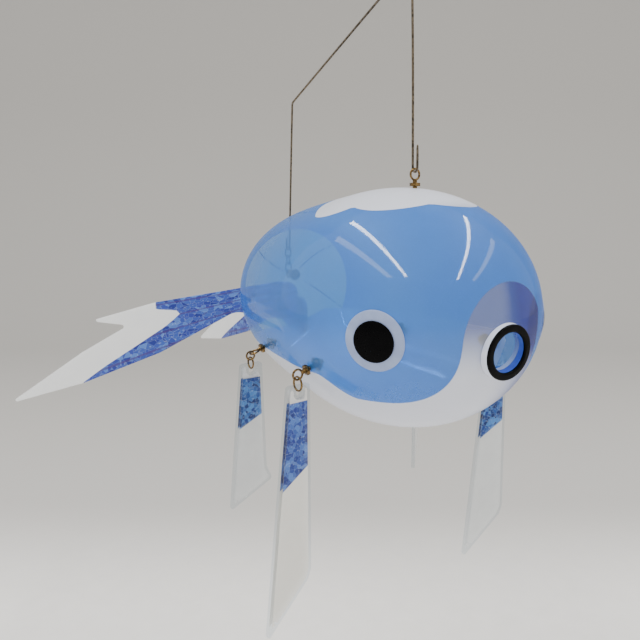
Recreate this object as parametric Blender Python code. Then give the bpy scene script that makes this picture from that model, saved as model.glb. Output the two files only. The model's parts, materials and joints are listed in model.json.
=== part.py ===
"""Carp streamer: a hollow see-through carp hung from a bent wire, with four hinged fin plates.

Axes: +X is the way the carp swims, +Z is up, and the carp's right side faces -Y.
The origin is the centre of the hanging loop at the top of the wire. Metres throughout.
"""

from math import acos, asin, atan2, cos, degrees, hypot, pi, radians, sin

import bmesh
import bpy
from mathutils import Matrix, Vector

MM = 0.001
GAP = 0.3 * MM  # air left between pieces that touch on the real object

# Body shell: an egg with its blunt end at the tail, measured from the carp's centre
NOSE_LENGTH = 106 * MM
TAIL_LENGTH = 110 * MM
HALF_WIDTH = 68.5 * MM
HALF_HEIGHT = 65.5 * MM
NOSE_POWER = 2.0  # 2 is an ellipse
TAIL_POWER = 4.4  # higher is squarer
NOSE_SWELL = 0.215  # how much fatter the nose end is than the tail end
SHELL_WALL = 2.5 * MM
SHELL_STEPS_ROUND = 40
SHELL_STEPS_ALONG = 26

# Mouth
MOUTH_OUTER_RADIUS = 14.0 * MM
MOUTH_BORE_RADIUS = 10.1 * MM
MOUTH_PROUD = 3.8 * MM
MOUTH_DROP = 12.4 * MM  # below the carp's axis
MOUTH_TILT = radians(7.5)
MOUTH_ROUNDING = 1.4 * MM

# Eyes
EYE_AHEAD = 75.0 * MM
EYE_DROP = 6.5 * MM
EYE_RADIUS = 15.0 * MM
PUPIL_RADIUS = 10.2 * MM
EYE_THICKNESS = 0.9 * MM
PUPIL_THICKNESS = 0.8 * MM
EYE_STEPS = 40

# Screw eyes, their nuts and the rings
EYE_WIRE = 0.6 * MM  # radius of the wire
SHANK_RADIUS = 1.2 * MM
FIN_EYE_RING = 2.7 * MM  # radius of a ring's centre line
FRONT_EYE_RING = 3.0 * MM
REAR_EYE_RING = 2.7 * MM
NUT_RADIUS = 3.0 * MM
NUT_THICKNESS = 1.8 * MM
WASHER_RADIUS = 4.0 * MM
WASHER_THICKNESS = 0.7 * MM
SHANK_PAST_NUT = 1.5 * MM
SLACK = 0.4 * MM  # between wires that hang on each other

# Front and rear screw eyes
FRONT_EYE_AHEAD = 34.0 * MM
FRONT_EYE_RISE = 7.4 * MM  # from the shell to the ring's centre
REAR_EYE_HEIGHT = 8.0 * MM
REAR_EYE_REACH = 7.0 * MM

# Fin screw eyes, from the carp's centre
PECTORAL_AHEAD = 28.0 * MM
PECTORAL_DROP = 27.0 * MM
PELVIC_AHEAD = -46.0 * MM
PELVIC_DROP = 29.0 * MM
FIN_EYE_REACH = 7.3 * MM  # from the shell to the ring's centre
FIN_EYE_DROOP = radians(20)

# Rings between a screw eye and its fin
PECTORAL_RING = 3.7 * MM
PELVIC_RING_UPPER = 2.6 * MM
PELVIC_RING_LOWER = 3.4 * MM
RING_WIRE = 0.6 * MM

# Fin plates
FIN_THICKNESS = 2.4 * MM
FIN_HOLE_RADIUS = 2.0 * MM
FIN_ABOVE_HOLE = 4.2 * MM
FIN_TOP_WIDTH = 14.5 * MM
FIN_CORNER = 2.0 * MM
PECTORAL_LENGTH = 132 * MM
PECTORAL_SHORT_SIDE = 108 * MM
PECTORAL_FOOT_WIDTH = 27 * MM
PECTORAL_FLARE = -3.3 * MM  # how far the foot stands out past the top
PELVIC_LENGTH = 90 * MM
PELVIC_SHORT_SIDE = 76 * MM
PELVIC_FOOT_WIDTH = 29 * MM
PELVIC_FLARE = 5.5 * MM
PECTORAL_TURN_RIGHT = radians(10)
PECTORAL_TURN_LEFT = radians(-10)
PELVIC_TURN_RIGHT = radians(4)
PELVIC_TURN_LEFT = radians(48)

# Tail plates
TAIL_THICKNESS = 2.6 * MM
TAIL_LENGTH_LOW = 252 * MM  # pole of the shell to the tip of the lower lobe
TAIL_LENGTH_HIGH = 168 * MM
TAIL_DROP_LOW = 110 * MM
TAIL_DROP_HIGH = 36 * MM
TAIL_FORK = 133 * MM
TAIL_FORK_DROP = 38 * MM
TAIL_WAIST = 18 * MM
TAIL_TAB_HEIGHT = 27 * MM
TAIL_TAB_INSIDE = 9 * MM
TAIL_TAB_TOP = 3.0 * MM
TAIL_CORNER = 2.5 * MM
TAIL_APART = 12.0 * MM
TAIL_RIGHT_SPLAY = radians(40)
TAIL_LEFT_SPLAY = radians(4)
TAIL_LEFT_LIFT = radians(8)
TAIL_LEFT_DROP = 12 * MM

# Chain and hanging wire
HANGER_WIRE = 0.75 * MM  # radius
HOOK_RADIUS = 2.1 * MM
FRONT_HOOK_RISE = 12.6 * MM
REAR_HOOK_RISE = 7 * MM
LINK_WIRE = 0.55 * MM
LINK_END_RADIUS = 2.3 * MM
LINK_STRAIGHT = 2.4 * MM
LINKS = 3
LOOP_RADIUS = 4.5 * MM
LOOP_PITCH = 1.9 * MM
LOOP_HEIGHT = 180.5 * MM  # above the carp's centre
REAR_BEND_HEIGHT = 129 * MM
REAR_LEG_LEAN = 8 * MM
BEND_RADIUS = 3 * MM

RIGHT = -1
LEFT = 1


# ---------------------------------------------------------------- materials


def material(name, colour, roughness, metallic=0.0, alpha=1.0):
    made = bpy.data.materials.new(name)
    made.use_nodes = True
    shader = made.node_tree.nodes["Principled BSDF"]
    shader.inputs["Base Color"].default_value = (*colour, 1)
    shader.inputs["Roughness"].default_value = roughness
    shader.inputs["Metallic"].default_value = metallic
    shader.inputs["Alpha"].default_value = alpha
    made.diffuse_color = (*colour, alpha)
    return made


# ---------------------------------------------------------------- objects and modifiers


def add_object(name, mesh_maker, finish, parent=None, place=(0, 0, 0), axes=None):
    """A mesh object from a bmesh, at a place under its parent and turned to the given axes."""
    mesh = bpy.data.meshes.new(name)
    bmesh.ops.recalc_face_normals(mesh_maker, faces=mesh_maker.faces)
    mesh_maker.to_mesh(mesh)
    mesh_maker.free()
    mesh.shade_smooth()
    mesh.set_sharp_from_angle(angle=radians(35))
    made = bpy.data.objects.new(name, mesh)
    bpy.context.scene.collection.objects.link(made)
    if finish:
        mesh.materials.append(finish)
    made.parent = parent
    turn = axes.to_quaternion() if axes else Matrix.Identity(3).to_quaternion()
    made.rotation_mode = "QUATERNION"
    made.rotation_quaternion = turn
    made.location = place
    return made


def add_empty(name, place, parent=None):
    made = bpy.data.objects.new(name, None)
    bpy.context.scene.collection.objects.link(made)
    made.parent = parent
    made.location = place
    return made


def tool(mesh_maker, parent=None, place=(0, 0, 0), axes=None):
    """A helper solid for a Boolean, which is never part of the object."""
    made = add_object("tool", mesh_maker, None, parent, place, axes)
    made.hide_render = True
    made.display_type = "WIRE"
    return made


def boolean(target, operation, other):
    step = target.modifiers.new(operation.lower(), "BOOLEAN")
    step.operation = operation
    step.solver = "EXACT"
    step.object = other


def axes_from(z_axis, x_hint):
    """Axes whose Z is the given direction and whose X lies as near the hint as it can."""
    z_axis = Vector(z_axis).normalized()
    y_axis = z_axis.cross(Vector(x_hint)).normalized()
    return Matrix((y_axis.cross(z_axis), y_axis, z_axis)).transposed()


# ---------------------------------------------------------------- shapes


def cylinder(radius, low, high, steps):
    """A cylinder along Z, from low to high."""
    made = bmesh.new()
    middle = Matrix.Translation((0, 0, (low + high) / 2))
    bmesh.ops.create_cone(
        made,
        cap_ends=True,
        segments=steps,
        radius1=radius,
        radius2=radius,
        depth=high - low,
        matrix=middle,
    )
    return made


def block(size, centre):
    made = bmesh.new()
    bmesh.ops.create_cube(made, size=1)
    bmesh.ops.scale(made, vec=size, verts=made.verts)
    bmesh.ops.translate(made, vec=centre, verts=made.verts)
    return made


def turned(profile, steps):
    """A closed profile of (radius, z) points, turned round Z."""
    made = bmesh.new()
    rings = []
    for step in range(steps):
        angle = 2 * pi * step / steps
        rings.append([made.verts.new((r * cos(angle), r * sin(angle), z)) for r, z in profile])
    for step in range(steps):
        here, there = rings[step], rings[(step + 1) % steps]
        for i in range(len(profile)):
            j = (i + 1) % len(profile)
            made.faces.new((here[i], here[j], there[j], there[i]))
    return made


def tube(points, radius, sides, closed, flat_normal):
    """Round wire along points that lie near a plane with the given normal."""
    made = bmesh.new()
    rings = []
    count = len(points)
    for i, point in enumerate(points):
        before = points[(i - 1) % count] if closed or i else point
        after = points[(i + 1) % count] if closed or i < count - 1 else point
        along = (after - before).normalized()
        across = along.cross(flat_normal).normalized()
        up = across.cross(along)
        ring = []
        for side in range(sides):
            angle = 2 * pi * side / sides
            ring.append(made.verts.new(point + radius * (cos(angle) * across + sin(angle) * up)))
        rings.append(ring)
    for i in range(count if closed else count - 1):
        here, there = rings[i], rings[(i + 1) % count]
        for side in range(sides):
            other = (side + 1) % sides
            made.faces.new((here[side], here[other], there[other], there[side]))
    if not closed:
        made.faces.new(rings[0])
        made.faces.new(rings[-1])
    return made


def ring_points(radius, straight=0.0, steps=20):
    """A ring in the XZ plane, or a chain link's outline where it has a straight length along Z."""
    points = []
    for step in range(steps):
        angle = 2 * pi * (step + 0.5) / steps
        shift = straight / 2 if sin(angle) > 0 else -straight / 2
        points.append(Vector((radius * cos(angle), 0, radius * sin(angle) + shift)))
    return points


def arc(centre, radius, start, end, steps):
    """Points in the XZ plane round a centre, with both ends."""
    return [
        Vector(
            (
                centre[0] + radius * cos(start + (end - start) * i / steps),
                0,
                centre[1] + radius * sin(start + (end - start) * i / steps),
            )
        )
        for i in range(steps + 1)
    ]


def rounded(corners, radii, steps=4):
    """A flat outline of (x, y) corners, each replaced by an arc of its radius."""
    points = []
    for i, corner in enumerate(corners):
        here = Vector(corner)
        back = (Vector(corners[i - 1]) - here).normalized()
        ahead = (Vector(corners[(i + 1) % len(corners)]) - here).normalized()
        half = acos(max(-1, min(1, back.dot(ahead)))) / 2
        reach = radii[i] / max(sin(half), 1e-6) * cos(half)
        centre = here + (back + ahead).normalized() * hypot(reach, radii[i])
        first, last = here + back * reach - centre, here + ahead * reach - centre
        turn = atan2(first.x * last.y - first.y * last.x, first.dot(last))
        for step in range(steps + 1):
            angle = turn * step / steps
            points.append(
                (
                    centre.x + first.x * cos(angle) - first.y * sin(angle),
                    centre.y + first.x * sin(angle) + first.y * cos(angle),
                )
            )
    return points


def plate(outline, thickness):
    """A flat plate in the XZ plane, centred on it, from an outline of (x, z) points."""
    made = bmesh.new()
    verts = [made.verts.new((x, -thickness / 2, z)) for x, z in outline]
    face = made.faces.new(verts)
    grown = bmesh.ops.extrude_face_region(made, geom=[face])
    moved = [part for part in grown["geom"] if isinstance(part, bmesh.types.BMVert)]
    bmesh.ops.translate(made, vec=(0, thickness, 0), verts=moved)
    bmesh.ops.triangulate(made, faces=made.faces)
    return made


# ---------------------------------------------------------------- the egg-shaped body surface


def egg_section(ahead, offset=0.0):
    """How large the cross-section is at this place along the body, as a share of the half sizes."""
    length = (NOSE_LENGTH if ahead > 0 else TAIL_LENGTH) + offset
    power = NOSE_POWER if ahead > 0 else TAIL_POWER
    share = max(-1, min(1, ahead / length))
    return (1 - abs(share) ** power) ** (1 / power) * (1 + NOSE_SWELL * share)


def skin_side(ahead, height, offset=0.0):
    """The half width of the body surface at a place along it and a height."""
    size = egg_section(ahead, offset)
    tall = (HALF_HEIGHT + offset) * size
    return (HALF_WIDTH + offset) * size * (1 - (height / tall) ** 2) ** 0.5


def skin_top(ahead, offset=0.0):
    return (HALF_HEIGHT + offset) * egg_section(ahead, offset)


def skin_front(height, offset=0.0):
    """How far ahead the body surface is in the middle plane at a height, found by halving."""
    low, high = 0.0, NOSE_LENGTH + offset
    for _ in range(40):
        middle = (low + high) / 2
        low, high = (middle, high) if skin_top(middle, offset) > abs(height) else (low, middle)
    return low


def egg(offset=0.0):
    """The body surface, moved outwards by an offset, as a closed mesh."""
    made = bmesh.new()
    rings = []
    for step in range(1, SHELL_STEPS_ALONG):
        angle = pi * step / SHELL_STEPS_ALONG
        power = NOSE_POWER if cos(angle) >= 0 else TAIL_POWER
        length = (NOSE_LENGTH if cos(angle) >= 0 else TAIL_LENGTH) + offset
        share = abs(cos(angle)) ** (2 / power) * (1 if cos(angle) >= 0 else -1)
        size = sin(angle) ** (2 / power) * (1 + NOSE_SWELL * share)
        ring = []
        for turn in range(SHELL_STEPS_ROUND):
            round_angle = 2 * pi * (turn + 0.5) / SHELL_STEPS_ROUND
            y = (HALF_WIDTH + offset) * size * cos(round_angle)
            z = (HALF_HEIGHT + offset) * size * sin(round_angle)
            ring.append(made.verts.new((length * share, y, z)))
        rings.append(ring)
    nose = made.verts.new((NOSE_LENGTH + offset, 0, 0))
    tail = made.verts.new((-TAIL_LENGTH - offset, 0, 0))
    for turn in range(SHELL_STEPS_ROUND):
        other = (turn + 1) % SHELL_STEPS_ROUND
        made.faces.new((nose, rings[0][turn], rings[0][other]))
        made.faces.new((tail, rings[-1][other], rings[-1][turn]))
        for here, there in zip(rings, rings[1:]):
            made.faces.new((here[turn], there[turn], there[other], here[other]))
    bmesh.ops.recalc_face_normals(made, faces=made.faces)
    return made


# ---------------------------------------------------------------- places worked out from the sizes


def front_eye_place():
    return Vector((FRONT_EYE_AHEAD, 0, skin_top(FRONT_EYE_AHEAD) + FRONT_EYE_RISE))


def rear_eye_place():
    return Vector((-TAIL_LENGTH - REAR_EYE_REACH, 0, REAR_EYE_HEIGHT))


def fin_eye_direction(side):
    """From the shell outwards."""
    return Vector((0, side * cos(FIN_EYE_DROOP), -sin(FIN_EYE_DROOP)))


def fin_eye_place(ahead, drop, side):
    """The ring's centre. The shank meets the shell at this drop."""
    skin = Vector((ahead, side * skin_side(ahead, drop), -drop))
    return skin + fin_eye_direction(side) * FIN_EYE_REACH


def front_pivot():
    """Centre of the hook's wire where the front screw eye hangs on it."""
    return front_eye_place() + Vector((0, 0, FRONT_EYE_RING - EYE_WIRE - HANGER_WIRE - SLACK))


def rear_pivot():
    """Centre of the rear screw eye's wire, over the last link."""
    return rear_eye_place() + Vector((0, 0, REAR_EYE_RING))


def link_half():
    return LINK_END_RADIUS + LINK_STRAIGHT / 2


def link_places():
    """Centres of the chain links from the screw eye up, and of the hook's wire above them."""
    place = rear_pivot() - Vector((0, 0, EYE_WIRE + LINK_WIRE + SLACK))
    centres = []
    for _ in range(LINKS):
        place = place + Vector((0, 0, link_half()))
        centres.append(place.copy())
        place = place + Vector((0, 0, link_half() - 2 * LINK_WIRE - SLACK))
    hook = place + Vector((0, 0, 2 * LINK_WIRE + SLACK))
    return centres, hook - Vector((0, 0, LINK_WIRE + HANGER_WIRE + SLACK))


# ---------------------------------------------------------------- the hanging wire and its chain


def hanger_route():
    """The wire's centre line: rear hook, rear leg, slope, loop, front leg and front hook."""
    hook = link_places()[1]
    bottom = (hook.x, hook.z + HOOK_RADIUS)
    points = [Vector((bottom[0] - HOOK_RADIUS, 0, bottom[1] + REAR_HOOK_RISE))]
    points += arc(bottom, HOOK_RADIUS, pi, 2 * pi, 8)
    foot = points[-1]
    bend = Vector((foot.x + REAR_LEG_LEAN, 0, REAR_BEND_HEIGHT))
    front = front_pivot()
    leg_x = front.x - HOOK_RADIUS
    loop = (leg_x - LOOP_RADIUS, LOOP_HEIGHT)
    to_bend = Vector((bend.x - loop[0], bend.z - loop[1]))
    angle = atan2(to_bend.y, to_bend.x) % (2 * pi) - acos(LOOP_RADIUS / to_bend.length)
    coil = arc(loop, LOOP_RADIUS, angle + 2 * pi, 0, 26)
    points += bent(foot, bend, coil[0])
    turn = angle + 2 * pi
    for i, point in enumerate(coil):
        part = i / (len(coil) - 1)
        point.y = LOOP_PITCH * turn / (2 * pi) * (0.5 - part)
        points.append(point)
    points.append(Vector((leg_x, 0, (loop[1] + front.z) / 2)))
    bottom = (front.x, front.z + HOOK_RADIUS)
    points += arc(bottom, HOOK_RADIUS, pi, 2 * pi, 8)
    points.append(Vector((bottom[0] + HOOK_RADIUS, 0, bottom[1] + FRONT_HOOK_RISE)))
    return points


def bent(before, corner, after):
    """The arc that rounds a corner of the wire."""
    back, ahead = (before - corner).normalized(), (after - corner).normalized()
    half = acos(back.dot(ahead)) / 2
    reach = BEND_RADIUS / sin(half) * cos(half)
    centre = corner + (back + ahead).normalized() * hypot(reach, BEND_RADIUS)
    first, last = corner + back * reach - centre, corner + ahead * reach - centre
    points = []
    for step in range(5):
        part = step / 4
        points.append(centre + BEND_RADIUS * first.slerp(last, part))
    return points


def build_hanger(carp, brass):
    route = hanger_route()
    add_object("hanger_wire", tube(route, HANGER_WIRE, 8, False, Vector((0, 1, 0))), brass, carp)
    centres = link_places()[0]
    for number, centre in enumerate(centres):
        outline = ring_points(LINK_END_RADIUS, LINK_STRAIGHT, 16)
        link = tube(outline, LINK_WIRE, 6, True, Vector((0, 1, 0)))
        crosswise = number % 2 == 0
        axes = axes_from((0, 0, 1), (0, 1, 0)) if crosswise else None
        add_object(f"chain_link_{LINKS - number}", link, brass, carp, centre, axes)


# ---------------------------------------------------------------- the shell, mouth and eyes


def mouth_axes():
    return axes_from((cos(MOUTH_TILT), 0, -sin(MOUTH_TILT)), (0, 1, 0))


def mouth_place():
    return Vector((skin_front(MOUTH_DROP), 0, -MOUTH_DROP))


def eye_place(side):
    return Vector((EYE_AHEAD, side * skin_side(EYE_AHEAD, EYE_DROP), -EYE_DROP))


def eye_axes(side):
    """Z along the body surface's normal at the eye, from small steps along the surface."""
    step = MM
    here = eye_place(side)
    ahead = EYE_AHEAD + step
    along = Vector((ahead, side * skin_side(ahead, EYE_DROP), -EYE_DROP)) - here
    raised = Vector((EYE_AHEAD, side * skin_side(EYE_AHEAD, EYE_DROP - step), step - EYE_DROP)) - here
    normal = along.cross(raised) * (-side)
    return axes_from(normal, (0, 0, 1))


def screw_places():
    """(name, ring centre, outward direction, shell point) of each screw eye's shank."""
    places = []
    front = front_eye_place()
    places.append(("front", front, Vector((0, 0, 1)), front - Vector((0, 0, FRONT_EYE_RISE))))
    rear = rear_eye_place()
    places.append(("rear", rear, Vector((-1, 0, 0)), rear + Vector((REAR_EYE_REACH, 0, 0))))
    for fin, ahead, drop in fin_rows():
        for side, hand in ((RIGHT, "right"), (LEFT, "left")):
            centre = fin_eye_place(ahead, drop, side)
            outward = fin_eye_direction(side)
            places.append((f"{fin}_{hand}", centre, outward, centre - outward * FIN_EYE_REACH))
    return places


def fin_rows():
    return (
        ("pectoral", PECTORAL_AHEAD, PECTORAL_DROP),
        ("pelvic", PELVIC_AHEAD, PELVIC_DROP),
    )


def build_shell(carp, plastic, black, white):
    shell = add_object("body_shell", egg(), plastic, carp)
    boolean(shell, "DIFFERENCE", tool(egg(-SHELL_WALL), carp))
    bore = cylinder(MOUTH_BORE_RADIUS, -12 * MM, 20 * MM, 40)
    boolean(shell, "DIFFERENCE", tool(bore, carp, mouth_place(), mouth_axes()))
    for _, _, outward, skin in screw_places():
        drill = cylinder(SHANK_RADIUS + GAP, -8 * MM, 6 * MM, 12)
        boolean(shell, "DIFFERENCE", tool(drill, carp, skin, axes_from(outward, (0.3, 1, 0.2))))
    for side in (RIGHT, LEFT):
        length = TAIL_TAB_INSIDE + 14 * MM
        size = (length, TAIL_THICKNESS + 2 * GAP, TAIL_TAB_HEIGHT + 2 * GAP)
        slot = block(size, (length / 2 - TAIL_TAB_INSIDE - 6 * MM, 0, -TAIL_TAB_HEIGHT / 2))
        place, axes = tail_place(side), tail_axes(side)
        boolean(shell, "DIFFERENCE", tool(slot, carp, place, axes))

    rounding = [
        (
            MOUTH_OUTER_RADIUS - MOUTH_ROUNDING * (1 - cos(pi / 2 * i / 3)),
            MOUTH_PROUD - MOUTH_ROUNDING * (1 - sin(pi / 2 * i / 3)),
        )
        for i in range(4)
    ]
    inner = [
        (
            MOUTH_BORE_RADIUS + MOUTH_ROUNDING * (1 - sin(pi / 2 * i / 3)),
            MOUTH_PROUD - MOUTH_ROUNDING * (1 - cos(pi / 2 * i / 3)),
        )
        for i in range(4)
    ]
    base = -6 * MM
    profile = [(MOUTH_OUTER_RADIUS, base), *rounding, *inner, (MOUTH_BORE_RADIUS, base)]
    mouth = add_object("mouth_ring", turned(profile, 40), black, carp, mouth_place(), mouth_axes())
    boolean(mouth, "DIFFERENCE", tool(egg(GAP), carp))

    for side, hand in ((RIGHT, "right"), (LEFT, "left")):
        place, axes = eye_place(side), eye_axes(side)
        low, high = GAP, GAP + EYE_THICKNESS
        build_disc(f"eye_white_{hand}", white, carp, place, axes, EYE_RADIUS, low, high)
        low, high = high + GAP, high + GAP + PUPIL_THICKNESS
        build_disc(f"eye_pupil_{hand}", black, carp, place, axes, PUPIL_RADIUS, low, high)


def build_disc(name, finish, carp, place, axes, radius, low, high):
    """A round disc that follows the body surface, between two heights over it."""
    disc = cylinder(radius, -12 * MM, 12 * MM, EYE_STEPS)
    made = add_object(name, disc, finish, carp, place, axes)
    boolean(made, "INTERSECT", tool(egg(high), carp))
    boolean(made, "DIFFERENCE", tool(egg(low), carp))


# ---------------------------------------------------------------- screw eyes and nuts


def screw_eye(name, ring_radius, reach, brass, parent, centre, outward, flat_normal):
    """A ring with a shank that runs back through the shell, past its inner nut."""
    ring = tube(ring_points(ring_radius), EYE_WIRE, 8, True, Vector((0, 1, 0)))
    axes = axes_from(outward, Vector(flat_normal).cross(Vector(outward)))
    made = add_object(name, ring, brass, parent, centre, axes)
    tail = reach + SHELL_WALL + inner_stack() + SHANK_PAST_NUT
    shank = cylinder(SHANK_RADIUS, -tail, -ring_radius, 12)
    boolean(made, "UNION", tool(shank, parent, centre, axes))
    return made


def inner_stack():
    """Room under the shell for the wall's curve, the washer and the nut."""
    return curve_room() + WASHER_THICKNESS + GAP + NUT_THICKNESS + GAP


def curve_room():
    return 1.5 * MM


def nut(name, brass, parent, place, axes, low):
    solid = cylinder(NUT_RADIUS, low, low + NUT_THICKNESS, 6)
    made = add_object(name, solid, brass, parent, place, axes)
    bore = cylinder(SHANK_RADIUS + GAP, low - MM, low + NUT_THICKNESS + MM, 12)
    boolean(made, "DIFFERENCE", tool(bore, parent, place, axes))


def washer(name, brass, parent, place, axes, low):
    inner = SHANK_RADIUS + GAP
    high = low + WASHER_THICKNESS
    profile = [(inner, low), (WASHER_RADIUS, low), (WASHER_RADIUS, high), (inner, high)]
    add_object(name, turned(profile, 20), brass, parent, place, axes)


def build_screws(carp, brass):
    for name, centre, outward, skin in screw_places():
        if name == "front":
            ring_radius, reach, flat = FRONT_EYE_RING, FRONT_EYE_RISE, (1, 0, 0)
        elif name == "rear":
            ring_radius, reach, flat = REAR_EYE_RING, REAR_EYE_REACH, (0, 1, 0)
        elif name.startswith("pectoral"):
            ring_radius, reach, flat = FIN_EYE_RING, FIN_EYE_REACH, (1, 0, 0)
        else:
            flat = outward.cross(Vector((1, 0, 0)))
            ring_radius, reach = FIN_EYE_RING, FIN_EYE_REACH
        screw_eye(f"{name}_screw_eye", ring_radius, reach, brass, carp, centre, outward, flat)
        axes = axes_from(outward, (0.3, 1, 0.2))
        seat = 1.0 * MM if name != "rear" else GAP
        nut(f"{name}_nut_outer", brass, carp, skin, axes, seat)
        low = -SHELL_WALL - curve_room() - WASHER_THICKNESS
        if name == "rear":
            low = -SHELL_WALL - GAP - WASHER_THICKNESS
        washer(f"{name}_washer", brass, carp, skin, axes, low)
        nut(f"{name}_nut_inner", brass, carp, skin, axes, low - GAP - NUT_THICKNESS)


# ---------------------------------------------------------------- fins


def fin_outline(length, short_side, foot_width, flare):
    """The fin's corners from its hole, which its weight hangs close under."""
    half = FIN_TOP_WIDTH / 2
    top = FIN_ABOVE_HOLE
    corners = [
        (-half, top),
        (half, top),
        (half + flare * 0.3, top - short_side + abs(flare) * 1.6),
        (half + flare, top - short_side),
        (half + flare - foot_width, top - length),
    ]
    radii = [FIN_CORNER, FIN_CORNER, FIN_CORNER * 2, FIN_CORNER, FIN_CORNER / 2]
    return rounded(corners[::-1], radii[::-1])


def turned_about_z(vector, angle):
    return Matrix.Rotation(angle, 3, "Z") @ Vector(vector)


def build_fin(name, hand, carp, pivot, rings, outline, turn, brass, clear):
    """The rings that hang from a screw eye's wire at the pivot, and the plate on the lowest one.

    Each ring is a normal and a radius. It swings on the wire above it, which its normal lies along.
    """
    above = EYE_WIRE
    for number, (normal, ring_radius) in enumerate(rings, 1):
        hinge = add_empty(f"{name}_{hand}_pivot_{number}", pivot, carp)
        centre = Vector((0, 0, above + RING_WIRE + SLACK - ring_radius))
        flat = turned_about_z(normal, turn * number / (len(rings) + 1))
        axes = axes_from((0, 0, 1), flat.cross(Vector((0, 0, 1))))
        ring = tube(ring_points(ring_radius), RING_WIRE, 8, True, Vector((0, 1, 0)))
        suffix = "" if len(rings) == 1 else f"_{number}"
        add_object(f"{name}_{hand}_ring{suffix}", ring, brass, hinge, centre, axes)
        pivot = pivot + centre - Vector((0, 0, ring_radius))
        above = RING_WIRE
    hinge = add_empty(f"{name}_{hand}_plate_pivot", pivot, carp)
    sag = ring_radius - (ring_radius**2 - (FIN_THICKNESS / 2) ** 2) ** 0.5
    hole_drop = FIN_HOLE_RADIUS - RING_WIRE - SLACK - sag
    face = turned_about_z((1, 0, 0), turn)
    axes = axes_from((0, 0, 1), Vector((0, 0, 1)).cross(face))
    solid = plate(outline, FIN_THICKNESS)
    fin = add_object(f"{name}_fin_{hand}", solid, clear, hinge, (0, 0, -hole_drop), axes)
    drill = cylinder(FIN_HOLE_RADIUS, -FIN_THICKNESS, FIN_THICKNESS, 16)
    across = axes_from(face, (0, 0, 1))
    boolean(fin, "DIFFERENCE", tool(drill, hinge, (0, 0, -hole_drop), across))


def build_fins(carp, brass, clear):
    pectoral = fin_outline(
        PECTORAL_LENGTH, PECTORAL_SHORT_SIDE, PECTORAL_FOOT_WIDTH, PECTORAL_FLARE
    )
    pelvic = fin_outline(PELVIC_LENGTH, PELVIC_SHORT_SIDE, PELVIC_FOOT_WIDTH, PELVIC_FLARE)
    turns = {
        ("pectoral", RIGHT): PECTORAL_TURN_RIGHT,
        ("pectoral", LEFT): PECTORAL_TURN_LEFT,
        ("pelvic", RIGHT): PELVIC_TURN_RIGHT,
        ("pelvic", LEFT): PELVIC_TURN_LEFT,
    }
    ahead_of, aside = Vector((1, 0, 0)), Vector((0, 1, 0))
    for fin, ahead, drop in fin_rows():
        for side, hand in ((RIGHT, "right"), (LEFT, "left")):
            place = fin_eye_place(ahead, drop, side)
            turn = turns[(fin, side)]
            if fin == "pectoral":
                pivot = place - Vector((0, 0, FIN_EYE_RING))
                rings, outline = [(aside, PECTORAL_RING)], pectoral
            else:
                pivot = place + fin_eye_direction(side) * FIN_EYE_RING
                rings = [(ahead_of, PELVIC_RING_UPPER), (aside, PELVIC_RING_LOWER)]
                outline = pelvic
            build_fin(fin, hand, carp, pivot, rings, outline, turn, brass, clear)


# ---------------------------------------------------------------- tail


def tail_place(side):
    """Top of the tab's line where the plate crosses the shell's rear wall."""
    drop = TAIL_LEFT_DROP if side == LEFT else 0
    return Vector((-TAIL_LENGTH, side * TAIL_APART / 2, TAIL_TAB_TOP - drop))


def tail_axes(side):
    """X out along the plate, Y across it and Z up."""
    splay = TAIL_RIGHT_SPLAY if side == RIGHT else TAIL_LEFT_SPLAY
    out = Vector((-cos(splay), side * sin(splay), 0))
    return Matrix((out, Vector((0, 0, 1)).cross(out), Vector((0, 0, 1)))).transposed()


def tail_outline():
    """The forked plate's corners, from the top of its tab."""
    tab = TAIL_TAB_HEIGHT
    corners = [
        (-TAIL_TAB_INSIDE, 0),
        (6 * MM, 0),
        (TAIL_LENGTH_HIGH * 0.64, -TAIL_DROP_HIGH * 0.52),
        (TAIL_LENGTH_HIGH, -TAIL_DROP_HIGH),
        (TAIL_FORK, -TAIL_FORK_DROP),
        (TAIL_LENGTH_LOW * 0.7, -TAIL_DROP_LOW * 0.56),
        (TAIL_LENGTH_LOW, -TAIL_DROP_LOW),
        (TAIL_LENGTH_LOW * 0.7, -TAIL_DROP_LOW * 0.79),
        (TAIL_LENGTH_LOW * 0.42, -TAIL_DROP_LOW * 0.53),
        (40 * MM, -TAIL_WAIST - 5 * MM),
        (16 * MM, -tab),
        (-TAIL_TAB_INSIDE, -tab),
    ]
    radii = [
        TAIL_TAB_INSIDE * 0.9,
        TAIL_CORNER,
        40 * MM,
        TAIL_CORNER / 2,
        1.5 * MM,
        30 * MM,
        TAIL_CORNER / 2,
        60 * MM,
        30 * MM,
        20 * MM,
        TAIL_CORNER,
        TAIL_TAB_INSIDE * 0.9,
    ]
    return rounded(corners[::-1], radii[::-1])


def lifted(outline, angle):
    """The outline's free part swung up round the tab's mouth in the shell."""
    done = []
    for x, z in outline:
        part = max(0.0, min(1.0, (x - 10 * MM) / (30 * MM)))
        turn = angle * part
        done.append((x * cos(turn) + z * sin(turn) * -1, x * sin(turn) + z * cos(turn)))
    return done


def build_tail(carp, clear):
    for side, hand in ((RIGHT, "right"), (LEFT, "left")):
        outline = tail_outline()
        if side == LEFT:
            outline = lifted(outline, TAIL_LEFT_LIFT)
        solid = plate(outline, TAIL_THICKNESS)
        add_object(f"tail_plate_{hand}", solid, clear, carp, tail_place(side), tail_axes(side))


# ---------------------------------------------------------------- the whole object


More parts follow.
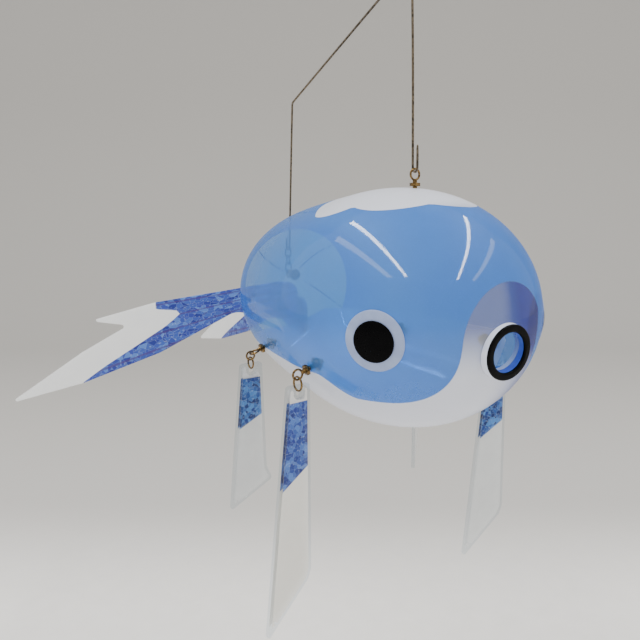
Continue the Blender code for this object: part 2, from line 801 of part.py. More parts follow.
def main():
    for old in list(bpy.data.objects):
        bpy.data.objects.remove(old)

    plastic = material("blue_clear_plastic", (0.09, 0.22, 0.62), 0.08, alpha=0.6)
    black = material("black_gloss_plastic", (0.006, 0.006, 0.007), 0.2)
    white = material("white_plastic", (0.75, 0.77, 0.82), 0.3)
    clear = material("clear_acrylic", (0.55, 0.66, 0.9), 0.05, alpha=0.7)
    brass = material("aged_brass", (0.35, 0.22, 0.07), 0.35, 1.0)

    loop_ahead = front_pivot().x - HOOK_RADIUS - LOOP_RADIUS
    carp = add_empty("carp_centre", (-loop_ahead, 0, -LOOP_HEIGHT))
    build_hanger(carp, brass)
    build_shell(carp, plastic, black, white)
    build_screws(carp, brass)
    build_fins(carp, brass, clear)
    build_tail(carp, clear)


main()
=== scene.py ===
"""Dresses the hanging carp: a see-through shell with film and frosting, plates and brass.

Lengths are in metres in the row frame: +X is the way the carp swims, +Z is up, and the carp's right
side faces -Y. The origin is the centre of the hanging loop. Finishes and prints are worked out in
millimetres, where the name of a value says so.
"""

import json
import logging
from contextlib import contextmanager
from dataclasses import dataclass, field
from enum import Enum
from math import atan2, cos, hypot, pi, radians, sin

import bmesh
import bpy
import numpy as np
from mathutils import Matrix, Vector

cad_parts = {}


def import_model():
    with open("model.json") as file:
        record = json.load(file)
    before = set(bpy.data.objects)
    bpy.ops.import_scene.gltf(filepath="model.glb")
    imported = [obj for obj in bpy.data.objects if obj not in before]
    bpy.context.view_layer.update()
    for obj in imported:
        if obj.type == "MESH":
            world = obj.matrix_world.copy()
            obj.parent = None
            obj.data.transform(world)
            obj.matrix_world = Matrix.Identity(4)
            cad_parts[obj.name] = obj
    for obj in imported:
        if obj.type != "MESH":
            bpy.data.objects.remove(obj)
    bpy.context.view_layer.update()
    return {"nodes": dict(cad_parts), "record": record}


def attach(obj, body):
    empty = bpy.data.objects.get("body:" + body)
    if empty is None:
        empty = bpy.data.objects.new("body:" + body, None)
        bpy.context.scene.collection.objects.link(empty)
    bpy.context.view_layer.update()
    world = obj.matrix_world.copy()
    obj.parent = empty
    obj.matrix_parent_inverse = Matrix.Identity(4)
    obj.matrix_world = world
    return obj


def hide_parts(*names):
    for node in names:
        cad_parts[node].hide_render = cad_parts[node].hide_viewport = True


Piece = bpy.types.Object
Socket = bpy.types.NodeSocket
Values = np.ndarray

LOG = logging.getLogger("carp")
MM = 0.001
CENTRE = Vector((-27.4, 0.0, -180.5)) * MM  # the carp's centre from the hanging loop


class Side(Enum):
    """The carp's two sides, by the sign of their Y."""

    RIGHT = -1
    LEFT = 1

    @property
    def word(self) -> str:
        """The side's word in node names."""
        return self.name.lower()


class Fin(Enum):
    """The two pairs of fins."""

    PECTORAL = "pectoral"
    PELVIC = "pelvic"


# ---------------------------------------------------------------- small helpers


def rgb(code: str) -> tuple[float, float, float, float]:
    """A colour for a shader from an sRGB hex code.

    Args:
        code: Six hex digits, such as "3a70bc".

    Returns:
        The linear colour, with an alpha of 1.
    """
    parts = [int(code[i : i + 2], 16) / 255 for i in (0, 2, 4)]
    line = [c / 12.92 if c <= 0.04045 else ((c + 0.055) / 1.055) ** 2.4 for c in parts]
    return (line[0], line[1], line[2], 1.0)


def deselect() -> None:
    """Leaves object mode with nothing selected."""
    if bpy.context.object and bpy.context.object.mode != "OBJECT":
        bpy.ops.object.mode_set(mode="OBJECT")
    bpy.ops.object.select_all(action="DESELECT")


def take(piece: Piece) -> None:
    """Makes a piece the only selected one, and the active one."""
    deselect()
    piece.select_set(True)
    bpy.context.view_layer.objects.active = piece


def named(name: str) -> Piece:
    """Names the active object and its mesh, and returns it."""
    piece = bpy.context.object
    piece.name = name
    piece.data.name = name
    return piece


def dress_in(piece: Piece, *finishes) -> None:
    """Gives a piece the material of each finish, in order."""
    for finish in finishes:
        piece.data.materials.append(finish.make())


def apply_all(piece: Piece) -> None:
    """Applies each modifier of a piece, in order."""
    take(piece)
    for modifier in list(piece.modifiers):
        bpy.ops.object.modifier_apply(modifier=modifier.name)


def settle(piece: Piece) -> None:
    """Puts a piece's place, turn and size into its mesh."""
    take(piece)
    bpy.ops.object.transform_apply(location=True, rotation=True, scale=True)


def carry(piece: Piece, axes: Matrix, place: Vector) -> None:
    """Turns a piece's mesh to the given axes and moves it to a place.

    Args:
        piece: A piece modelled round the origin.
        axes: A 3 by 3 matrix whose columns are the piece's axes.
        place: Where the piece's origin goes.
    """
    piece.data.transform(Matrix.Translation(place) @ axes.to_4x4())


@contextmanager
def editing(piece: Piece):
    """Edit mode with all of a piece selected."""
    take(piece)
    bpy.ops.object.mode_set(mode="EDIT")
    bpy.ops.mesh.select_all(action="SELECT")
    yield
    bpy.ops.object.mode_set(mode="OBJECT")


def recalculate(piece: Piece) -> None:
    """Merges doubles and makes all faces point outwards."""
    with editing(piece):
        bpy.ops.mesh.remove_doubles(threshold=0.00001)
        bpy.ops.mesh.normals_make_consistent(inside=False)


def copy_of(source: Piece, name: str) -> Piece:
    """A copy of a solid, free of its parent, with its place in its mesh."""
    take(source)
    bpy.ops.object.duplicate()
    piece = named(name)
    piece.parent = None
    piece.matrix_world = source.matrix_world.copy()
    settle(piece)
    return piece


def smooth(piece: Piece, angle: float = 35) -> None:
    """Shades a piece smooth except across edges sharper than the angle in degrees."""
    take(piece)
    bpy.ops.object.shade_smooth_by_angle(angle=radians(angle))


def bevelled(piece: Piece, width: float, segments: int = 2) -> None:
    """Rounds a piece's sharp edges by a width in metres."""
    step = piece.modifiers.new("edges", "BEVEL")
    step.width = width
    step.segments = segments
    step.limit_method = "ANGLE"
    step.angle_limit = radians(40)
    apply_all(piece)


def cut(piece: Piece, other: Piece) -> None:
    """Cuts a helper solid out of a piece, and removes the helper."""
    step = piece.modifiers.new("cut", "BOOLEAN")
    step.operation = "DIFFERENCE"
    step.solver = "EXACT"
    step.object = other
    apply_all(piece)
    bpy.data.objects.remove(other)


def bore_tool(radius_mm: float) -> Piece:
    """A long cylinder on the origin's Z axis, for cutting a bore."""
    bpy.ops.mesh.primitive_cylinder_add(vertices=96, radius=radius_mm * MM, depth=0.04)
    return named("bore")


def axes_from(z_axis: Vector, x_hint: Vector) -> Matrix:
    """Axes whose Z is the given direction and whose X lies as near the hint as it can."""
    z_axis = Vector(z_axis).normalized()
    y_axis = z_axis.cross(Vector(x_hint)).normalized()
    return Matrix((y_axis.cross(z_axis), y_axis, z_axis)).transposed()


def add_node(tree: bpy.types.NodeTree, kind: str, settings: dict | None = None, **inputs):
    """Adds a shader node.

    Args:
        tree: The tree that gets it.
        kind: The node's type, without "ShaderNode".
        settings: Properties of the node, such as a blend type.
        inputs: Values or output sockets, by input name with _ for a space, or by number as n0.

    Returns:
        The node.
    """
    node = tree.nodes.new("ShaderNode" + kind)
    for key, value in (settings or {}).items():
        setattr(node, key, value)
    for key, value in inputs.items():
        numbered = key[0] == "n" and key[1:].isdigit()
        socket = node.inputs[int(key[1:])] if numbered else node.inputs[key.replace("_", " ")]
        if isinstance(value, Socket):
            tree.links.new(value, socket)
        else:
            socket.default_value = value
    return node


def maths(tree: bpy.types.NodeTree, operation: str, *values) -> Socket:
    """A Math node's result, from one to three values or sockets."""
    inputs = {f"n{i}": value for i, value in enumerate(values)}
    return add_node(tree, "Math", {"operation": operation}, **inputs).outputs[0]


def ramp(tree, factor, *stops) -> Socket:
    """A colour ramp's colour.

    Args:
        tree: The tree that gets it.
        factor: The socket that drives it.
        stops: Pairs of a place from 0 to 1 and an sRGB hex code.

    Returns:
        The colour socket.
    """
    node = add_node(tree, "ValToRGB", Fac=factor)
    band = node.color_ramp
    while len(band.elements) < len(stops):
        band.elements.new(0.5)
    for element, (place, code) in zip(band.elements, stops):
        element.position = place
        element.color = rgb(code)
    return node.outputs["Color"]


def mixed(tree, factor, first, second, blend: str = "MIX") -> Socket:
    """Two colours mixed by a factor, each a socket or a colour."""
    node = add_node(tree, "Mix", {"data_type": "RGBA", "blend_type": blend})
    for number, value in ((0, factor), (6, first), (7, second)):
        if isinstance(value, Socket):
            tree.links.new(value, node.inputs[number])
        else:
            node.inputs[number].default_value = value
    return node.outputs[2]


def step_at(tree, value, start: float, end: float) -> Socket:
    """0 below start, 1 past end, and smooth between."""
    settings = {"interpolation_type": "SMOOTHSTEP"}
    inputs = {"n0": value, "n1": start, "n2": end, "n3": 0.0, "n4": 1.0}
    return add_node(tree, "MapRange", settings, **inputs).outputs[0]


def blended(tree, factor, first, second) -> Socket:
    """Two shaders mixed by a factor."""
    node = add_node(tree, "MixShader", Fac=factor, n1=first, n2=second)
    return node.outputs[0]


def principled(tree, colour, roughness, **inputs) -> Socket:
    """A Principled shader of a colour and a roughness, each a socket or a value."""
    inputs |= {"Base_Color": colour, "Roughness": roughness}
    return add_node(tree, "BsdfPrincipled", **inputs).outputs[0]


def bumped(tree, height, distance: float, strength: float) -> Socket:
    """A normal that follows a height."""
    inputs = {"Height": height, "Distance": distance, "Strength": strength}
    return add_node(tree, "Bump", **inputs).outputs[0]


def noise(tree, place, scale: float, detail: float, **inputs) -> Socket:
    """A cloudy value at a place."""
    inputs |= {"Vector": place, "Scale": scale, "Detail": detail}
    return add_node(tree, "TexNoise", **inputs).outputs["Fac"]


def attribute(tree, name: str) -> Socket:
    """A number that the mesh stores at each of its points."""
    return add_node(tree, "Attribute", {"attribute_name": name}).outputs["Fac"]


def own_place(tree) -> Socket:
    """Object coordinates."""
    return add_node(tree, "TexCoord").outputs["Object"]


def new_tree(name: str) -> tuple[bpy.types.Material, bpy.types.NodeTree]:
    """An empty material and its tree."""
    made = bpy.data.materials.new(name)
    made.use_nodes = True
    made.node_tree.nodes.clear()
    return made, made.node_tree


def close_tree(tree, shader: Socket) -> None:
    """Links a shader to the tree's output."""
    add_node(tree, "OutputMaterial", Surface=shader)


def store(piece: Piece, name: str, values: Values) -> None:
    """Stores a number at each vertex of a piece."""
    layer = piece.data.attributes.new(name, "FLOAT", "POINT")
    layer.data.foreach_set("value", values.astype(np.float32))


def points_of(piece: Piece) -> Values:
    """A piece's vertices as rows."""
    flat = np.empty(len(piece.data.vertices) * 3, np.float32)
    piece.data.vertices.foreach_get("co", flat)
    return flat.reshape(-1, 3).astype(float)


def rising(values: Values, start: float, length: float) -> Values:
    """0 up to start, 1 a length further on, and straight between."""
    return np.clip((values - start) / length, 0, 1)


def eased(values: Values, start: float, length: float) -> Values:
    """0 up to start, 1 a length further on, and smooth between."""
    share = rising(values, start, length)
    return share * share * (3 - 2 * share)


# ---------------------------------------------------------------- finishes


@dataclass(frozen=True)
class ClearCoat:
    """The gloss of bare polycarbonate, laid over whatever shows through it."""

    least: float = 0.030
    most: float = 0.28
    roughness: float = 0.045

    def over(self, tree, below: Socket) -> Socket:
        """The shader under a mirror-like gloss that grows towards grazing angles."""
        gloss = add_node(tree, "BsdfGlossy", Color=rgb("ffffff"), Roughness=self.roughness)
        edge = add_node(tree, "LayerWeight", Blend=0.5).outputs["Facing"]
        edge = maths(tree, "POWER", edge, 5.0)
        edge = maths(tree, "MULTIPLY_ADD", edge, self.most, self.least)
        return blended(tree, edge, below, gloss.outputs[0])


@dataclass(frozen=True)
class PrintedShellFinish:
    """Clear plastic with blue film on the flanks and frosted white patches, as printed shell."""

    film_light: str = "c6e0f8"
    film_deep: str = "459fe4"
    film_body: str = "4794ee"
    film_cool: str = "3a57c8"
    frost: str = "d3d6e0"
    seam: str = "1d3f9c"
    coat: ClearCoat = field(default_factory=ClearCoat)

    def make(self) -> bpy.types.Material:
        """The material, which reads its fields from the mesh."""
        made, tree = new_tree("printed_clear_shell")
        place = own_place(tree)
        frost = step_at(tree, attribute(tree, "frost_mm"), -0.25, 0.25)
        film = step_at(tree, attribute(tree, "film_mm"), -0.25, 0.25)
        # Cloudy ink over 14 mm, and its fine grain under a millimetre
        cloud = noise(tree, place, 70.0, 3.0, Roughness=0.6)
        grain = noise(tree, place, 1500.0, 1.0)
        specks = add_node(tree, "TexVoronoi", Vector=place, Scale=620.0, Randomness=1.0)
        speck = step_at(tree, specks.outputs["Distance"], 0.16, 0.10)
        depth = maths(tree, "MULTIPLY_ADD", cloud, 0.30, -0.15)
        depth = maths(tree, "ADD", depth, attribute(tree, "depth"))
        depth = maths(tree, "SUBTRACT", depth, 0.08)
        depth = maths(tree, "MULTIPLY_ADD", grain, 0.16, depth)
        depth = maths(tree, "MULTIPLY_ADD", speck, 0.35, depth)
        depth = add_node(tree, "Clamp", Value=depth).outputs[0]
        tint = mixed(tree, depth, rgb(self.film_light), rgb(self.film_deep))
        bare = mixed(tree, attribute(tree, "cool"), rgb("f3f6ff"), rgb(self.film_cool))
        tint = mixed(tree, film, bare, tint)
        seam = step_at(tree, maths(tree, "ABSOLUTE", attribute(tree, "seam_mm")), 0.62, 0.30)
        tint = mixed(tree, seam, tint, rgb(self.seam))
        through = add_node(tree, "BsdfTransparent", Color=tint)
        body = mixed(tree, frost, rgb(self.film_body), rgb(self.frost))
        ink = principled(tree, body, 0.55, IOR=1.49)
        covered = maths(tree, "MULTIPLY", film, maths(tree, "MULTIPLY_ADD", depth, 0.25, 0.17))
        frosting = maths(tree, "MULTIPLY", frost, attribute(tree, "cover"))
        covered = maths(tree, "MAXIMUM", covered, frosting)
        printed = blended(tree, covered, through.outputs[0], ink)
        close_tree(tree, self.coat.over(tree, printed))
        return made


@dataclass(frozen=True)
class BareWallFinish:
    """The shell's unprinted inner face, clear polycarbonate."""

    coat: ClearCoat = field(default_factory=lambda: ClearCoat(0.012, 0.25, 0.08))

    def make(self) -> bpy.types.Material:
        """The material."""
        made, tree = new_tree("bare_clear_wall")
        cloud = noise(tree, own_place(tree), 60.0, 2.0)
        tint = ramp(tree, cloud, (0.3, "f4f7ff"), (0.7, "ffffff"))
        through = add_node(tree, "BsdfTransparent", Color=tint)
        close_tree(tree, self.coat.over(tree, through.outputs[0]))
        return made


@dataclass(frozen=True)
class AgedBrassFinish:
    """Brass wire gone brown in random patches, with brighter rubbed places."""

    name: str = "aged_brass"
    dark: str = "3d2c18"
    bright: str = "8f7347"
    roughness: float = 0.34

    def make(self) -> bpy.types.Material:
        """The material."""
        made, tree = new_tree(self.name)
        place = own_place(tree)
        tarnish = noise(tree, place, 900.0, 4.0)
        drawn = noise(tree, place, 5200.0, 2.0)
        colour = ramp(tree, tarnish, (0.36, self.dark), (0.62, self.bright))
        rough = maths(tree, "MULTIPLY_ADD", tarnish, -0.25, self.roughness + 0.12)
        bump = bumped(tree, drawn, 0.00004, 0.5)
        close_tree(tree, principled(tree, colour, rough, Metallic=1.0, Normal=bump))
        return made


@dataclass(frozen=True)
class MouldedFinish:
    """Opaque moulded plastic with a faint orange-peel and uneven gloss."""

    name: str
    colour: str
    shade: str
    roughness: float
    peel: float = 0.00003
    ior: float = 1.5

    def make(self) -> bpy.types.Material:
        """The material."""
        made, tree = new_tree(self.name)
        place = own_place(tree)
        mottle = noise(tree, place, 160.0, 3.0)
        fine = noise(tree, place, 900.0, 2.0)
        colour = ramp(tree, mottle, (0.35, self.shade), (0.65, self.colour))
        rough = maths(tree, "MULTIPLY_ADD", fine, 0.12, self.roughness - 0.06)
        bump = bumped(tree, fine, self.peel, 0.4)
        close_tree(tree, principled(tree, colour, rough, IOR=self.ior, Normal=bump))
        return made


@dataclass(frozen=True)
class PrintedPlateFinish:
    """Clear acrylic plate: an ink print, a milky part and a clear border.

    The mesh stores inside_mm, the way in from the plate's edge, print_mm, the way into the
    print, and run_mm and rise_mm, the place in the print's own directions.
    """

    name: str
    inks: tuple[str, ...]
    cell_mm: float
    milk: str
    milk_cover: float
    border_mm: float
    ray_mm: float = 0.0
    coat: ClearCoat = field(default_factory=lambda: ClearCoat(0.014, 0.3))

    def make(self) -> bpy.types.Material:
        """The material."""
        made, tree = new_tree(self.name)
        run, rise = attribute(tree, "run_mm"), attribute(tree, "rise_mm")
        place = add_node(tree, "CombineXYZ", X=run, Y=rise).outputs[0]
        border = self.border_mm
        inside = step_at(tree, attribute(tree, "inside_mm"), border - 0.15, border + 0.15)
        printed = step_at(tree, attribute(tree, "print_mm"), -0.15, 0.15)
        printed = maths(tree, "MULTIPLY", printed, inside)
        # Ink cells like small scales, each of one tone, with pale gaps and lighter flecks
        cells = add_node(tree, "TexVoronoi", Vector=place, Scale=1 / self.cell_mm)
        kind = {"feature": "DISTANCE_TO_EDGE"}
        edge = add_node(tree, "TexVoronoi", kind, Vector=place, Scale=1 / self.cell_mm)
        tone = add_node(tree, "SeparateColor", Color=cells.outputs["Color"]).outputs[0]
        stops = [(0.08 + 0.84 * i / (len(self.inks) - 1), ink) for i, ink in enumerate(self.inks)]
        colour = ramp(tree, tone, *stops)
        fleck = noise(tree, place, 0.75, 3.0)
        pale = step_at(tree, fleck, 0.60, 0.68)
        pale = maths(tree, "MULTIPLY", pale, 0.25)
        colour = mixed(tree, pale, colour, rgb("c9dcf5"))
        gap = step_at(tree, edge.outputs["Distance"], 0.05, 0.0)
        colour = mixed(tree, maths(tree, "MULTIPLY", gap, 0.22), colour, rgb("a9c4ee"))
        if self.ray_mm:
            ray = maths(tree, "MULTIPLY_ADD", fleck, 1.2, rise)
            ray = maths(tree, "PINGPONG", ray, self.ray_mm / 2)
            ray = step_at(tree, ray, 0.75, 0.25)
            colour = mixed(tree, maths(tree, "MULTIPLY", ray, 0.7), colour, rgb("46306f"))
        colour = mixed(tree, printed, rgb(self.milk), colour)
        ink = principled(tree, colour, 0.5, IOR=1.25)
        haze = noise(tree, place, 0.09, 2.0)
        milk = maths(tree, "MULTIPLY_ADD", haze, 0.10, self.milk_cover - 0.05)
        milk = maths(tree, "MULTIPLY", milk, inside)
        covered = maths(tree, "MAXIMUM", milk, maths(tree, "MULTIPLY", printed, 0.93))
        through = add_node(tree, "BsdfTransparent", Color=rgb("f2f5f7"))
        printed = blended(tree, covered, through.outputs[0], ink)
        close_tree(tree, self.coat.over(tree, printed))
        return made


@dataclass(frozen=True)
class FloorFinish:
    """Pale matt paper of the studio sweep with its faint fibre, and painted shade towards the wall.
    """

    colour: str = "f4f1ed"
    # The wall's colour is painted shade: the same paper, darker where the lamps fall off
    wall: str = "c3c0bc"
    # The level direction from the camera to the wall
    away: tuple[float, float, float] = (-0.82, 0.572, 0)

    def make(self) -> bpy.types.Material:
        """The material."""
        made, tree = new_tree("studio_paper")
        place = own_place(tree)
        fibre = noise(tree, place, 40.0, 3.0)
        paper = ramp(tree, fibre, (0.3, "f0ede9"), (0.7, self.colour))
        # Painted shade: the paper is painted darker towards the wall, where the lamps fall off
        away = add_node(
            tree, "VectorMath", {"operation": "DOT_PRODUCT"}, n0=place, n1=self.away
        )
        wall = step_at(tree, away.outputs["Value"], 0.35, 0.70)
        colour = mixed(tree, wall, paper, rgb(self.wall))
        close_tree(tree, principled(tree, colour, 0.9, IOR=1.45))
        return made


# ---------------------------------------------------------------- the body's surface


@dataclass(frozen=True)
class Egg:
    """The body's surface: an egg with its blunt end at the tail. Millimetres from the centre."""

    nose: float = 106.0
    tail: float = 110.0
    width: float = 68.5
    height: float = 65.5
    nose_power: float = 2.0
    tail_power: float = 4.4
    swell: float = 0.215

    def section(self, x: float) -> float:
        """The cross-section's size at a place along the body, as a share of the half sizes."""
        length, power = (self.nose, self.nose_power) if x > 0 else (self.tail, self.tail_power)
        share = max(-1.0, min(1.0, x / length))
        return (1 - abs(share) ** power) ** (1 / power) * (1 + self.swell * share)

    def side_at(self, x: float, z: float) -> float:
        """The half width at a place along the body and a height."""
        size = self.section(x)
        return self.width * size * max(0.0, 1 - (z / (self.height * size)) ** 2) ** 0.5

    def top_at(self, x: float) -> float:
        """The half height at a place along the body."""
        return self.height * self.section(x)

    def front_at(self, z: float) -> float:
        """How far ahead the surface is in the middle plane at a height."""
        low, high = 0.0, self.nose
        for _ in range(40):
            middle = (low + high) / 2
            low, high = (middle, high) if self.top_at(middle) > abs(z) else (low, middle)
        return low

    def normal_at(self, x: float, side: Side, z: float) -> Vector:
        """The outward direction at a place on one side."""
        here = Vector((x, side.value * self.side_at(x, z), z))
        ahead = Vector((x + 0.5, side.value * self.side_at(x + 0.5, z), z)) - here
        above = Vector((x, side.value * self.side_at(x, z + 0.5), z + 0.5)) - here
        return (ahead.cross(above) * -side.value).normalized()

    def mapped(self, x: float, y: float, z: float) -> Vector:
        """Where a point of the unit sphere lies on the egg."""
        front = x >= 0
        power = self.nose_power if front else self.tail_power
        share = abs(x) ** (2 / power) * (1 if front else -1)
        rim = hypot(y, z)
        size = rim ** (2 / power) * (1 + self.swell * share)
        turn = (y / rim, z / rim) if rim > 1e-9 else (0.0, 0.0)
        length = self.nose if front else self.tail
        return Vector((length * share, self.width * size * turn[0], self.height * size * turn[1]))


EGG = Egg()


def egg_mesh(name: str, segments: int, rings: int, gap_mm: float = 0.0) -> Piece:
    """The egg as a closed mesh, grown by a gap."""
    deselect()
    bpy.ops.mesh.primitive_uv_sphere_add(segments=segments, ring_count=rings, radius=1.0)
    egg = named(name)
    egg.data.transform(Matrix.Rotation(pi / 2, 4, "Y"))
    for vertex in egg.data.vertices:
        grown = EGG.mapped(*vertex.co)
        vertex.co = CENTRE + (grown + grown.normalized() * gap_mm) * MM
    recalculate(egg)
    return egg


def on_body(x: float, y: float, z: float) -> Vector:
    """A place in millimetres from the carp's centre, as metres in the row frame."""
    return CENTRE + Vector((x, y, z)) * MM


# ---------------------------------------------------------------- the shell


@dataclass
class Shell:
    """The hollow body, its printed patches and its rear seams."""

    wall_mm: float = 2.5
    steps_round: int = 160
    steps_along: int = 112
    mouth_bore_mm: float = 10.1
    # Frosted lobes of the back's patch: centre and radius
    back_lobes: tuple[tuple[float, float, float, float], ...] = (
        (10.0, -19.5, 61.5, 28.0),
        (37.5, -12.2, 62.5, 27.2),
        (47.0, 2.5, 62.0, 24.0),
        (30.0, 15.0, 63.0, 25.0),
        (6.0, 17.0, 62.0, 24.0),
        (-14.0, 3.0, 62.0, 21.0),
    )
    # The face patch round the mouth: a disc seen from the front, with a strip below it
    face_radius: float = 27.5
    face_offset: float = 4.0
    face_height: float = -7.0
    face_start: float = 40.0
    face_far_limit: float = 28.5
    # The belly's patch, whose edge dips under the eye and rises on the far side
    belly_height: float = -29.0
    belly_dip: float = 10.5
    belly_rise: float = 10.0
    # The two patches run together over this width
    blend_mm: float = 22.0
    # The clear disc of the rear wall
    rear_start: float = -80.0
    rear_radius: float = 41.0
    # The creases of the rear wall: directions in degrees, centre, bow and reach
    crease_turns: tuple[float, ...] = (35, 145, 215, 325)
    crease_height: float = 7.0
    crease_bow: float = 0.004
    crease_reach: float = 46.0
    crease_start: float = -86.0
    # How deep the film's ink is at the top of the middle, and where it changes
    ink_middle: float = 0.92
    ink_below: float = -0.35
    ink_behind: float = -0.50
    ink_nose: float = -0.12
    ink_end: float = 0.5

    def build(self) -> Piece:
        """The shell as one closed wall with the mouth's bore."""
        shell = egg_mesh("shell_clear", self.steps_round, self.steps_along)
        # Outer faces take the first finish and inner faces the second
        dress_in(shell, PrintedShellFinish(), BareWallFinish())
        wall = shell.modifiers.new("wall", "SOLIDIFY")
        wall.thickness = self.wall_mm * MM
        wall.offset = -1.0
        wall.material_offset = 1
        apply_all(shell)
        place, axes = mouth_frame()
        bore = bore_tool(self.mouth_bore_mm)
        carry(bore, axes, place)
        cut(shell, bore)
        smooth(shell, 40)
        return shell

    def print_fields(self, points: Values) -> dict[str, Values]:
        """Distances into each print, and how deep the film's ink is.

        Args:
            points: The shell's vertices in the row frame, in metres.

        Returns:
            frost_mm, film_mm, depth, seam_mm, cover and cool, one value per vertex.
        """
        x, y, z = ((points - np.array(CENTRE)) / MM).T
        front = self.front_patch(x, y, z)
        frost = np.maximum(self.back_patch(x, y, z), front)
        # The film stops short of the rear wall
        rear = np.sqrt((y / self.rear_radius) ** 2 + (z / self.rear_radius) ** 2)
        cap = np.where(x < self.rear_start, (rear - 1) * 45, x + 110)
        # Thin cool frosting on the brow and the far cheek, thick on the back and the belly
        brow = eased(x, start=60, length=25) * eased(z, start=-26, length=30)
        cheek = eased(x, start=62, length=25) * eased(y, start=-4, length=32) * (z < 40)
        seam = self.seams(x, y, z)
        seam = np.where((x > 60) & (y > 12), np.minimum(seam, np.abs(front)), seam)
        return {
            "frost_mm": frost,
            "film_mm": np.minimum(-frost, cap),
            "depth": self.ink_depth(x, z),
            "seam_mm": seam,
            "cover": np.clip(0.93 - 0.76 * brow - 0.66 * cheek, 0.06, 1),
            "cool": np.clip(0.62 * brow + 0.9 * cheek, 0, 1),
        }

    def back_patch(self, x: Values, y: Values, z: Values) -> Values:
        """Into the frosted lobes on the back, in millimetres."""
        back = np.full(len(x), -99.0)
        for cx, cy, cz, radius in self.back_lobes:
            lobe = radius - np.sqrt((x - cx) ** 2 + (y - cy) ** 2 + (z - cz) ** 2)
            back = np.maximum(back, lobe)
        return back

    def front_patch(self, x: Values, y: Values, z: Values) -> Values:
        """Into the frosted face and belly, which run together, in millimetres."""
        below = np.maximum(0.0, z - self.face_height)
        face = self.face_radius - np.hypot(y - self.face_offset, below)
        ahead = x - self.face_start
        face = np.where(ahead > 0, face, np.minimum(face, ahead))
        edge = self.belly_height - self.belly_dip * eased(x, start=33, length=22)
        edge = edge + self.belly_rise * rising(y, start=0, length=25)
        belly = (edge - z) * 0.85
        near = np.clip(self.blend_mm - np.abs(face - belly), 0, None) / self.blend_mm
        front = np.maximum(face, belly) + near**2 * self.blend_mm / 4
        return np.where(x > 45, np.minimum(front, self.face_far_limit - y), front)

    def ink_depth(self, x: Values, z: Values) -> Values:
        """How deep the film's ink is, paler below and behind, and deeper again at the end."""
        depth = self.ink_middle + self.ink_below * rising(-z, start=2, length=36)
        depth = depth + self.ink_behind * rising(-x, start=5, length=55)
        depth = depth + self.ink_nose * rising(x, start=70, length=30)
        return depth + self.ink_end * rising(-x, start=84, length=18)

    def seams(self, x: Values, y: Values, z: Values) -> Values:
        """Distance to the creases where the rear wall's petals meet, in millimetres."""
        gap = np.full(len(x), 99.0)
        up = z - self.crease_height
        out = np.hypot(y, up)
        for turn in self.crease_turns:
            angle = radians(turn)
            across = -y * sin(angle) + up * cos(angle)
            along = y * cos(angle) + up * sin(angle)
            bow = across - self.crease_bow * out * (self.crease_reach - out)
            gap = np.minimum(gap, np.where(along > 0, np.abs(bow), 99.0))
        on_rear = (x < self.crease_start) & (out < self.crease_reach + 1)
        return np.where(on_rear, gap, 99.0)

    def dress(self, shell: Piece) -> None:
        """Stores the prints' fields on the mesh."""
        for name, values in self.print_fields(points_of(shell)).items():
            store(shell, name, values)

    def make(self) -> Piece:
        """Builds, dresses and places the shell."""
        shell = self.build()
        self.dress(shell)
        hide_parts("body_shell")
        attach(shell, "carp")
        return shell


MOUTH_DROP = 12.4  # under the carp's centre, in millimetres
MOUTH_TILT = radians(7.5)  # below level


def mouth_frame() -> tuple[Vector, Matrix]:
    """The mouth's place on the shell, and axes whose Z points out of it."""
    tilt = MOUTH_TILT
    place = on_body(EGG.front_at(MOUTH_DROP), 0, -MOUTH_DROP)
    return place, axes_from(Vector((cos(tilt), 0, -sin(tilt))), Vector((0, 1, 0)))


@dataclass
class Mouth:
    """The black ring round the open mouth."""

    outer_mm: float = 14.0
    bore_mm: float = 10.1
    proud_mm: float = 3.8
    lip_mm: float = 0.9
    trim_mm: float = 1.3
    blank_mm: float = 10.0
    # The ring's back clears the shell's surface by this much
    gap_mm: float = 0.3

    def build(self) -> Piece:
        """The ring, modelled from a short cylinder, with a rounded lip and a shaped back."""
        deselect()
        depth = self.blank_mm * MM
        bpy.ops.mesh.primitive_cylinder_add(
            vertices=96,
            radius=self.outer_mm * MM,
            depth=depth,
            location=(0, 0, self.proud_mm * MM - depth / 2),
        )
        ring = named("mouth_trim")
        settle(ring)
        cut(ring, bore_tool(self.bore_mm))
        bevelled(ring, self.lip_mm * MM, 5)
        level = (self.proud_mm - self.trim_mm) * MM
        with editing(ring):
            bpy.ops.mesh.bisect(plane_co=(0, 0, level), plane_no=(0, 0, 1))
        place, axes = mouth_frame()
        carry(ring, axes, place)
        cut(ring, egg_mesh("back", 96, 64, self.gap_mm))
        smooth(ring, 40)
        return ring

    def make(self) -> Piece:
        """Builds and dresses the ring."""
        ring = self.build()
        trim = MouldedFinish("black_trim", "060607", "030304", 0.25, ior=1.14)
        collar = MouldedFinish("frosted_collar", "dfe3ee", "d2d8e8", 0.45)
        # The bore's wall gets painted shade: deep blue standing in for the dim blue inside of the
        # body seen through the mouth
        dress_in(ring, trim, collar, MouldedFinish("bore_painted_shade", "4f6ac6", "3d54b2", 0.4))
        place, axes = mouth_frame()
        front = axes.col[2]
        for face in ring.data.polygons:
            behind = (face.center - place).dot(front) < (self.proud_mm - self.trim_mm) * MM
            face.material_index = 1 if behind else 0
            offset = face.center - place
            # Faces round the bore take the painted shade behind the trim
            if (offset - front * offset.dot(front)).length < (self.bore_mm + 0.2) * MM:
                face.material_index = 2 if behind else 0
        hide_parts("mouth_ring")
        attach(ring, "carp")
        return ring


